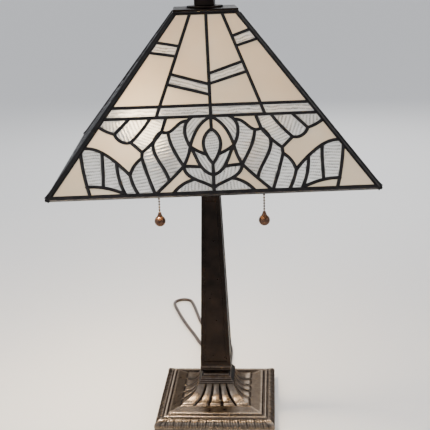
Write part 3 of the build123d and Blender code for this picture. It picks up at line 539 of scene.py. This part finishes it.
# ---------------------------------------------------------------- shade: glass
# Clear pieces: a place in a panel's right half, the direction of the ribs there in degrees, and their pitch.
RIBS = [
    ((123, 97), 84, 4.32), ((100, 90), 72, 4.44), ((77, 84), 22, 3.96), ((147, 41), -3, 4.2),
    ((124, 30), -6, 4.2), ((106, 20), -14, 4.08), ((39, 70), -7, 4.32), ((56, 53), -13, 4.44),
    ((71, 34), -14, 4.44), ((88, 23), -9, 4.32), ((22, 92), 128, 4.2), ((9, 42), 62, 4.08),
    ((16, 25), 74, 3.96), ((23, 10), 96, 4.08), ((0, 66), 8, 3.6),
]
BAND_LOW = 106.0           # from here up, the clear pieces have streaks along them, not ribs
STREAK_PITCH = 4.68
RIB_HEIGHT = 0.42
GLASS_INSET = 0.25         # how far the sheet's faces lie inside those of the CAD glass, in mm
RIB_FADE = 0.9             # how far from a piece's edge the ribs run out


def rib_direction(loop):
    """The direction of a clear piece's ribs or streaks, in radians, and their pitch, in mm."""
    middle = np.array(loop).mean(0)
    x, y = middle
    if y > BAND_LOW:
        _, _, axes = np.linalg.svd(np.array(loop) - middle, full_matrices=False)
        return math.atan2(axes[0][1], axes[0][0]), STREAK_PITCH
    _, angle, pitch = min(RIBS, key=lambda rib: math.dist(rib[0], (abs(x), y)))
    return math.radians(angle if x >= 0 else 180 - angle), pitch


def clear_piece(loop, seed):
    """A clear piece's points and triangles, its ribs' height, and how deep in a valley each point lies, for
    the painted shade there.
    """
    angle, pitch = rib_direction(loop)
    points, triangles = fill([loop], lattice([loop], 2.4, 0.8, angle, clear=0.5))
    x, y = points[:, 0], points[:, 1]
    slow, quick = (1.5, 0.9) if np.array(loop).mean(0)[1] > BAND_LOW else (0.8, 0.35)
    across = -math.sin(angle) * x + math.cos(angle) * y
    warp = slow * waves(x, y, 46, seed) + quick * waves(x, y, 15, seed)
    phase = 2 * math.pi * (across + warp) / pitch
    strength = 0.75 + 0.35 * waves(x, y, 21, seed + 2)
    ripple = RIB_HEIGHT * strength * (np.sin(phase) + 0.25 * np.sin(2 * phase + 1))
    # Painted shade: how strongly the valley between two ribs is darkened.
    valley_shade = np.clip(-np.sin(phase), 0, 1) ** 1.2 * np.clip(strength, 0.4, 1)
    return points, triangles, ripple, valley_shade


def cream_piece(loop, seed):
    """The same for a cream piece, which is only a little uneven."""
    points, triangles = fill([loop], lattice([loop], 9, 8, clear=2.5))
    ripple = 0.06 * waves(points[:, 0], points[:, 1], 38, seed)
    return points, triangles, ripple, np.zeros(len(points))


def glass_mesh(kind):
    """One panel's glass of one kind, each piece a closed shell with its relief on the outer face."""
    loops = outlines(f"shade_front_{kind}_glass", side_matrix(0), -GLASS_DROP)
    outer = -GLASS_DROP / MM - GLASS_INSET
    inner = -(GLASS_DROP + GLASS) / MM + GLASS_INSET
    make_piece = clear_piece if kind == "clear" else cream_piece
    vertices, faces, tones, ribs = [], [], [], []
    for number, loop in enumerate(loops):
        points, triangles, ripple, valley_shade = make_piece(loop, number)
        edge = np.clip(edge_distance(points, [loop]) / RIB_FADE, 0, 1)
        shell_points, shell = slab(points, triangles, outer + ripple * edge, np.full(len(points), inner))
        base = sum(len(v) for v in vertices)
        vertices.append(shell_points)
        faces.extend([tuple(i + base for i in face) for face in shell])
        tones.append(np.full(len(shell_points), (number * 0.618) % 1.0))
        # The rib attribute carries the painted shade of the rib valleys.
        ribs.append(np.tile(valley_shade, 2))
    marks = {"tone": np.concatenate(tones), "rib": np.concatenate(ribs)}
    return mesh_from(f"{kind}_glass", np.concatenate(vertices), faces, 50, **marks)


def cream_material():
    """Opalescent sheet: cream with faint whiter and warmer drifts, letting a soft light through."""
    m = Nodes("cream_glass")
    drift = m.noise(9, 3, 0.6)
    base = m.ramp(drift, (0.30, (0.83, 0.66, 0.43)), (0.52, (0.87, 0.72, 0.50)), (0.75, (0.90, 0.79, 0.61)))
    tone = m.range(m.attribute("tone"), 0, 1, 0.0, 0.22)
    m.set(Base_Color=m.mix(tone, base, (0.84, 0.66, 0.43)), Roughness=0.55, Transmission_Weight=0.45)
    m.set(IOR=1.45, Coat_Weight=0.7, Coat_Roughness=0.07)
    m.bump(m.noise(60, 3), 0.0003)
    return m.material


def clear_material():
    """Clear glass with a trace of milk in it, with painted shade darkening the valleys between its ribs."""
    m = Nodes("clear_glass")
    milk = m.ramp(m.noise(30), (0.3, (0.96, 0.94, 0.87)), (0.7, (1.0, 0.98, 0.93)))
    # Painted shade: the colour goes almost black in the rib valleys.
    colour = m.mix(m.attribute("rib"), milk, (0.075, 0.07, 0.055))
    m.set(Base_Color=colour, Roughness=0.12, Transmission_Weight=0.6, IOR=1.48)
    m.bump(m.noise(240, 4), 0.0005)
    return m.material


def make_glass():
    """Each side's clear and cream glass, from one mesh of each kind."""
    materials = {"cream": cream_material(), "clear": clear_material()}
    for kind, material in materials.items():
        mesh = glass_mesh(kind)
        for side, angle in SIDES.items():
            replaced = [f"shade_{side}_{kind}_glass"]
            place = side_matrix(angle)
            add_piece(f"{side}_{kind}", mesh, material, "shade", replaced, place)


# ---------------------------------------------------------------- shade: hip seams and rims
def tube(points, radii, sides=16):
    """A closed tube round a line of points in metres: its vertices in mm, and its faces."""
    vertices, faces = [], []
    for number, (point, radius) in enumerate(zip(points, radii)):
        ahead = points[min(number + 1, len(points) - 1)] - points[max(number - 1, 0)]
        ring_frame = ahead.to_track_quat("Z", "Y").to_matrix()
        for side in range(sides):
            turn = 2 * math.pi * side / sides
            spoke = Vector((radius * math.cos(turn), radius * math.sin(turn), 0))
            vertices.append(point + ring_frame @ spoke)
    for ring in range(len(points) - 1):
        for side in range(sides):
            a, b = ring * sides + side, ring * sides + (side + 1) % sides
            faces.append((a, b, b + sides, a + sides))
    last = (len(points) - 1) * sides
    faces.append(tuple(reversed(range(sides))))
    faces.append(tuple(range(last, last + sides)))
    return [tuple(v / MM) for v in vertices], faces


HIP_RADIUS = 3.15          # of the bead along a hip, in mm as the next three
HIP_BLOB = 0.8             # how much thicker it is at its foot
HIP_SINK = 1.5             # how far its middle lies inside the hip's own line
HIP_LENGTH = 300


def make_hips(material):
    """A round solder bead along each hip, a little uneven, with a blob at its foot."""
    vertices, faces = [], []
    for number, angle in enumerate(SIDES.values()):
        turn = math.radians(SHADE_TURN + angle + 45)
        out = Vector((math.sin(turn), -math.cos(turn), 0))
        foot = out * (SHADE_WIDTH / 2 * math.sqrt(2)) + Vector((0, 0, SHADE_Z))
        climb = Vector((0, 0, SHADE_RISE)) - out * (SHADE_RUN * math.sqrt(2))
        inward = (Vector((0, 0, -SHADE_RUN * math.sqrt(2))) - out * SHADE_RISE).normalized()
        shares = np.linspace(0.004, 0.985, 260)
        points = [foot + climb * share + inward * (HIP_SINK * MM) for share in shares]
        run = shares * HIP_LENGTH
        lumps = 0.10 * waves(run, number, 23) + 0.06 * waves(run, number, 7, 2)
        blob = HIP_BLOB * swell(run, 5)
        ring_vertices, ring_faces = tube(points, (HIP_RADIUS + lumps + blob) * MM)
        faces.extend([tuple(i + len(vertices) for i in face) for face in ring_faces])
        vertices.extend(ring_vertices)
    mesh = mesh_from("hip_seams", vertices, faces)
    add_piece("hip_seams", mesh, material, "shade", ["shade_hip_seams"])


def soften(width, *names):
    """Rounds the edges of CAD nodes with modifiers, so that they catch the light."""
    for name in names:
        weld = nodes[name].modifiers.new("weld", "WELD")
        weld.merge_threshold = 1e-5
        bevel = nodes[name].modifiers.new("bevel", "BEVEL")
        bevel.width = width
        bevel.segments = 3
        bevel.limit_method = "ANGLE"
        bevel.angle_limit = math.radians(30)
        bevel.harden_normals = True


# ---------------------------------------------------------------- base
BASE = 89.0                # half the width of the base, in mm as all of its outline
COVE_FOOT, COVE_BEND, COVE_HEAD = (49.5, 30.3), (34.8, 36.6), (26.6, 51.0)
GADROON = 12.0             # pitch of the main grooves round the edge roll
GADROON_RIBS = 3           # ribs between two of them
GADROON_LEAN = 2.4         # how far the ribs lean sideways over the roll
GROOVE_WIDTH = 0.9
LEAF_LENGTH = 8.4          # of the plain leaf on each corner of the roll, as far as the groove round it
LOBE_EDGES = (-0.6, -0.2, 0.2, 0.6)   # shares of the half width where the cove's five lobes meet
LOBE_GROOVE = 1.5          # width of the groove between two lobes
CORNER_WEAR_AND_HIGHLIGHT = 0.35         # extra wear and painted highlight along the square's corners
RELIEF_WEAR_AND_HIGHLIGHT = 0.45         # extra wear and painted highlight for each mm that the relief stands out
EASE = 0.35                # how far a turning's edge is eased
# Wear and painted highlight on a turning's eased edges.
EDGE_WEAR_AND_HIGHLIGHT = 0.55
PIPE_ROOM = 5.2            # half the width of the bore for the threaded pipe
STUD_ROOM = 3.2            # and of the one for the finial's stud
STUD_TOP = 17              # top of that bore, above the finial's foot


def arc(start, bend, end, count):
    """Points along the circle through three points, without the first."""
    (ax, ay), (bx, by), (cx, cy) = start, bend, end
    d = 2 * (ax * (by - cy) + bx * (cy - ay) + cx * (ay - by))
    a2, b2, c2 = ax * ax + ay * ay, bx * bx + by * by, cx * cx + cy * cy
    ux = (a2 * (by - cy) + b2 * (cy - ay) + c2 * (ay - by)) / d
    uy = (a2 * (cx - bx) + b2 * (ax - cx) + c2 * (bx - ax)) / d
    radius = math.dist(start, (ux, uy))
    first, middle, last = (math.atan2(y - uy, x - ux) for x, y in (start, bend, end))
    unwrap = np.unwrap([first, middle, last])
    turns = np.linspace(unwrap[0], unwrap[2], count + 1)[1:]
    return [(ux + radius * math.cos(turn), uy + radius * math.sin(turn)) for turn in turns]


def straight(start, end, count):
    """Evenly spaced points along a straight line, without the first."""
    shares = np.linspace(0, 1, count + 1)[1:]
    return [tuple(np.array(start) + (np.array(end) - start) * share) for share in shares]


def base_profile():
    """The casting's closed section from its foot, over the top and back below: points, kinds, and wear with
    painted highlight.
    """
    b = BASE
    # Each part's last number is its wear, which is also a painted highlight where it is high on the edges.
    parts = [
        ("lip", [(b - 0.6, 1.5), (b - 0.1, 1.8), (b, 2.6)], 0.5),
        ("lip", straight((b, 2.6), (b, 9.0), 4), 0.15),
        ("lip", [(b - 0.1, 9.8), (b - 0.6, 10.5)], 0.9),
        ("roll", arc((b - 0.6, 10.5), (b - 2.6, 18.4), (b - 9.5, 21.8), 18), 0.35),
        ("plain", [(b - 10.1, 21.5), (b - 11.7, 21.5), (b - 12, 21.8)], 0.0),
        ("plain", arc((b - 12, 21.8), (b - 13, 23.9), (b - 15, 24), 6), 0.95),
        ("plain", [(b - 15.6, 23.7), (b - 17.6, 23.7), (b - 18, 24), (b - 18.3, 24.6)], 0.05),
        ("plain", [(b - 19.0, 25.7), (b - 19.6, 26.1), (b - 20.4, 26.2)], 0.8),
        ("plain", straight((b - 20.4, 26.2), (51.5, 28.8), 6), 0.22),
        ("foot", [(50.6, 29.0), (50.0, 29.6), COVE_FOOT], 0.6),
        ("cove", arc(COVE_FOOT, COVE_BEND, COVE_HEAD, 22), 0.4),
        ("plain", [(26.6, 52.0), (24, 52.0), (5.2, 52.0), (5.2, 46.0), (20, 46.0)], 0.1),
        ("plain", [(31, 31), (46, 24), (64, 21), (83, 9.5), (83, 1.5)], 0.0),
    ]
    points = [point for _, section, _ in parts for point in section]
    kinds = [kind for kind, section, _ in parts for _ in section]
    wear = [share for _, section, share in parts for _ in section]
    return np.array(points), kinds, np.array(wear)


def roll_relief(shares, half, level):
    """The edge roll's relief in mm: leaning gadroons, and a veined leaf on each corner."""
    corner = half * (1 - np.abs(shares))
    slant = np.abs(shares * half) + GADROON_LEAN * (level - 0.5)
    ribs = np.abs(np.sin(math.pi * GADROON_RIBS * slant / GADROON))
    groove = GADROON / 2 - np.abs((slant / GADROON) % 1 - 0.5) * GADROON
    gadroons = 0.95 * ribs ** 0.7 - 0.7 * swell(groove, GROOVE_WIDTH) - 0.5
    beyond_leaf = np.clip((corner - LEAF_LENGTH - 0.6) / 1.5, 0, 1)
    leaf = 0.9 * swell(corner, 5) - 0.7 * swell(corner - LEAF_LENGTH, 1.1)
    veins = 0.25 * np.cos(corner * 2.2) * swell(corner, 7)
    band = np.sin(math.pi * np.clip(level, 0.02, 0.98)) ** 0.5
    return band * (beyond_leaf * gadroons + leaf + veins)


def lobe_relief(shares, half, fade):
    """The cove's relief in mm: rounded lobes with grooves between them."""
    gap = np.min([np.abs(shares - edge) for edge in LOBE_EDGES], axis=0) * half
    crown = np.clip(gap / (0.2 * half), 0, 1) ** 0.5
    return fade * (1.2 * crown - 2.3 * swell(gap, LOBE_GROOVE) - 0.2)


def base_relief(kind, shares, half, level):
    """How far the relief stands out, in mm, across one side. Level runs from 0 to 1 over each kind's band."""
    if kind == "roll":
        return roll_relief(shares, half, level)
    if kind == "foot":
        return lobe_relief(shares, half, 1.0)
    if kind == "cove":
        return lobe_relief(shares, half, np.clip((1 - level) * 6, 0.35, 1))
    return np.zeros_like(shares)


def square_skin(name, points, wear, shares, relief=None):
    """A closed section, in mm, swept round a square as one skin, with a relief on each side."""
    count, columns = len(points), len(shares)
    tangent = np.roll(points, -1, axis=0) - np.roll(points, 1, axis=0)
    normal = np.stack([tangent[:, 1], -tangent[:, 0]], 1) / np.linalg.norm(tangent, axis=1)[:, None]
    # Wear and painted highlight for each vertex: the section's own, more along the corners and on raised
    # relief, less in grooves.
    corners = CORNER_WEAR_AND_HIGHLIGHT * np.clip((np.abs(shares) - 0.94) / 0.06, 0, 1)
    grid, rub_and_highlight = [], []
    for angle in SIDES.values():
        cos, sin = math.cos(math.radians(angle)), math.sin(math.radians(angle))
        side, side_rub_and_highlight = np.zeros((columns, count, 3)), np.zeros((columns, count))
        for index, (half, z) in enumerate(points):
            out = relief(index, shares, half) if relief else np.zeros(columns)
            reach = half + out * normal[index, 0]
            x, y = shares * reach, -reach
            height = z + out * normal[index, 1]
            side[:, index] = np.stack([x * cos - y * sin, x * sin + y * cos, height], 1)
            side_rub_and_highlight[:, index] = np.clip(wear[index] + RELIEF_WEAR_AND_HIGHLIGHT * out + corners, 0, 1)
        grid.append(side)
        rub_and_highlight.append(side_rub_and_highlight)
    around = len(SIDES) * columns
    faces = []
    for i in range(around):
        onward = (i + 1) % around
        for j in range(count):
            k = (j + 1) % count
            faces.append((i * count + j, onward * count + j, onward * count + k, i * count + k))
    vertices = np.concatenate(grid).reshape(-1, 3)
    return mesh_from(name, vertices, faces, 60, wear=np.concatenate(rub_and_highlight).reshape(-1))


def base_mesh():
    """The base casting: its section swept round a square, with gadroons on the roll and lobes in the cove."""
    points, kinds, wear = base_profile()
    bands = {kind: [i for i, k in enumerate(kinds) if k == kind] for kind in ("roll", "foot", "cove")}

    def relief(index, shares, half):
        band = bands.get(kinds[index], [index])
        return base_relief(kinds[index], shares, half, (index - band[0]) / max(1, len(band) - 1))

    return square_skin("base", points, wear, np.linspace(-1, 1, 177)[:-1], relief)


def turned_square(name, outline, bore, node, body, material):
    """A square turning with eased edges that are worn bright and carry a painted highlight, round a bore,
    which replaces a CAD node.
    """
    closed = outline + [(bore, outline[-1][1]), (bore, outline[0][1])]
    points, wear = [], []
    for number, corner in enumerate(closed):
        here = np.array(corner)
        before = np.array(closed[number - 1]) - here
        after = np.array(closed[(number + 1) % len(closed)]) - here
        eased = [(before, 2.6, 0.0), (before, 1.0, EDGE_WEAR_AND_HIGHLIGHT), (after, 1.0, EDGE_WEAR_AND_HIGHLIGHT), (after, 2.6, 0.0)]
        for step, share, rub_and_highlight in eased:
            points.append(here + step * min(share * 0.16, share * EASE / np.linalg.norm(step)))
            wear.append(rub_and_highlight)
    shares = np.array([-1, -0.985, -0.96, -0.9, -0.6, -0.3, 0, 0.3, 0.6, 0.9, 0.96, 0.985])
    mesh = square_skin(name, np.array(points), np.array(wear), shares)
    add_piece(name, mesh, material, body, [node])


def make_turnings(material):
    """The column's moulded foot and cap, and the finial, as (half width, height) points."""
    foot = [
        (27, 52), (27, 54), (25.2, 56.5), (23.2, 59), (22.3, 61), (21, 61.4), (19, 63.6),
        (19, 65.5), (20, 69.5), (23.3, 73), (23.3, 78.5), (22.6, 80),
    ]
    turned_square("foot_moulding", foot, PIPE_ROOM, "column_foot", "stand", material)
    cap = [(13.95, 346), (15.95, 348), (15.95, 351)]
    turned_square("cap_moulding", cap, PIPE_ROOM, "column_cap", "stand", material)
    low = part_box("finial")[0][2] / MM
    finial = [
        (13.5, 0), (13.5, 11), (10.5, 13), (10.5, 16), (12.5, 18),
        (9.5, 38), (11.5, 40), (11.5, 43), (0.3, 52), (0.2, STUD_TOP),
    ]
    placed = [(half, low + z) for half, z in finial]
    turned_square("finial_block", placed, STUD_ROOM, "finial", "finial", material)


def make_base():
    """The base casting in its own lighter bronze."""
    # The worn colour is a bright worn bronze and a painted highlight.
    material = metal(
        "base_bronze", (0.022, 0.017, 0.013), (0.042, 0.033, 0.026), (0.26, 0.42), 40, 0.0001,
        worn_and_highlight=(0.21, 0.17, 0.135), edge=0.25, coat=0.1,
    )
    add_piece("base", base_mesh(), material, "stand", ["base_casting"])


# ---------------------------------------------------------------- plain materials of the CAD nodes
def plastic(name, first, second, rough, scale, grain):
    """Plastic in two close tones, with an uneven gloss and a fine grain."""
    m = Nodes(name)
    colour = m.ramp(m.noise(scale), (0.3, first), (0.7, second))
    m.set(Base_Color=colour, Roughness=m.uneven(scale * 4, *rough))
    m.bump(m.noise(scale * 20, 5), grain)
    return m.material


def felt_material():
    """Dark green felt."""
    m = Nodes("felt")
    colour = m.ramp(m.noise(900, 6), (0.3, (0.018, 0.035, 0.022)), (0.7, (0.045, 0.08, 0.05)))
    m.set(Base_Color=colour, Roughness=0.95, Sheen_Weight=0.4)
    m.bump(m.noise(1800, 6), 0.0004)
    return m.material


def bulb_material(name, lit):
    """White bulb glass, which glows when it is lit."""
    m = Nodes(name)
    frost = m.ramp(m.noise(60), (0.3, (0.92, 0.90, 0.86)), (0.7, (0.96, 0.95, 0.93)))
    m.set(Base_Color=frost, Roughness=m.uneven(300, 0.3, 0.42), Transmission_Weight=0.0 if lit else 0.35)
    if lit:
        m.set(Emission_Color=(1.0, 0.78, 0.52, 1), Emission_Strength=12.0)
    return m.material


def both(*parts):
    """The left and the right node of each part."""
    return [f"{side}_{part}" for side in ("left", "right") for part in parts]


def give_metals():
    """The metal nodes, and the turnings, which are of the same bronze as the column."""
    # The worn colour is a bright worn bronze and a painted highlight.
    bronze = metal(
        "dark_bronze", (0.0065, 0.0045, 0.0035), (0.020, 0.013, 0.0095), (0.26, 0.42), 35, 0.00008,
        worn_and_highlight=(0.20, 0.165, 0.14), edge=0.08, coat=0.12,
    )
    give(bronze, "column", "shade_cap", "check_ring")
    make_turnings(bronze)
    brass = metal("old_brass", (0.13, 0.085, 0.04), (0.24, 0.165, 0.08), (0.28, 0.42), 90, 0.0001)
    give(brass, "socket_shells", "socket_caps", "socket_arms", "chain_outlets")
    give(brass, "cluster_body", "cluster_cover")
    chain = metal("chain_brass", (0.05, 0.033, 0.022), (0.11, 0.075, 0.048), (0.2, 0.35), 300, 0.00005)
    give(chain, *both("pull_chain", "switch_link"))
    copper = metal("copper_bronze", (0.075, 0.042, 0.030), (0.15, 0.085, 0.058), (0.22, 0.38), 120, 0.00008)
    give(copper, *both("pull_ball", "pull_bell"))
    plated = metal("plated_brass", (0.50, 0.43, 0.30), (0.66, 0.58, 0.42), (0.16, 0.3), 120, 0.00005)
    give(plated, "socket_screw_sleeves", *both("bulb_base"))
    zinc = metal("zinc", (0.42, 0.42, 0.40), (0.60, 0.60, 0.58), (0.28, 0.45), 80, 0.0001)
    give(zinc, "base_bottom_plate", "base_plate_screws", "pipe_nut", "pipe_washer", "threaded_pipe")
    give(zinc, "riser_rod", "seat_nut", "plug_blades")
    iron = metal("iron", (0.05, 0.05, 0.05), (0.10, 0.10, 0.10), (0.6, 0.8), 60, 0.0006)
    give(iron, "base_weight")


def give_materials(solder, cord):
    """A material for each CAD node that stays, and for the cord."""
    give_metals()
    phenolic = plastic("phenolic", (0.012, 0.011, 0.010), (0.022, 0.020, 0.018), (0.3, 0.45), 80, 0.00008)
    give(phenolic, "socket_cores", "cord_bushing")
    cable = plastic("cord_plastic", (0.028, 0.016, 0.010), (0.048, 0.028, 0.018), (0.34, 0.48), 60, 0.00008)
    give(cable, "arm_wires", "inner_cord", "hank_tie", "plug_body")
    cord.data.materials.append(cable)
    give(felt_material(), "felt_pad")
    give(bulb_material("bulb_lit", True), "left_bulb_glass")
    give(bulb_material("bulb_frosted", False), "right_bulb_glass")
    give(bulb_material("bulb_stem", False), *both("bulb_stem"))
    give(solder, "shade_rims")


def light_bulb():
    """The left bulb is lit by a soft light in its round end."""
    low, high = (Vector(corner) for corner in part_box("left_bulb_glass"))
    data = bpy.data.lights.new("left_bulb_light", "POINT")
    data.energy = 62
    data.color = (1.0, 0.80, 0.56)
    data.shadow_soft_size = 0.027
    lamp = bpy.data.objects.new("left_bulb_light", data)
    bpy.context.scene.collection.objects.link(lamp)
    lamp.location = (low + high) / 2 + Vector((-0.008, 0, 0.014))


# ---------------------------------------------------------------- all pieces
solder = make_solder()
make_glass()
make_hips(solder)
make_base()
give_materials(solder, cord)
soften(0.0007, "shade_rims", "shade_cap")
soften(0.0004, "column")
light_bulb()
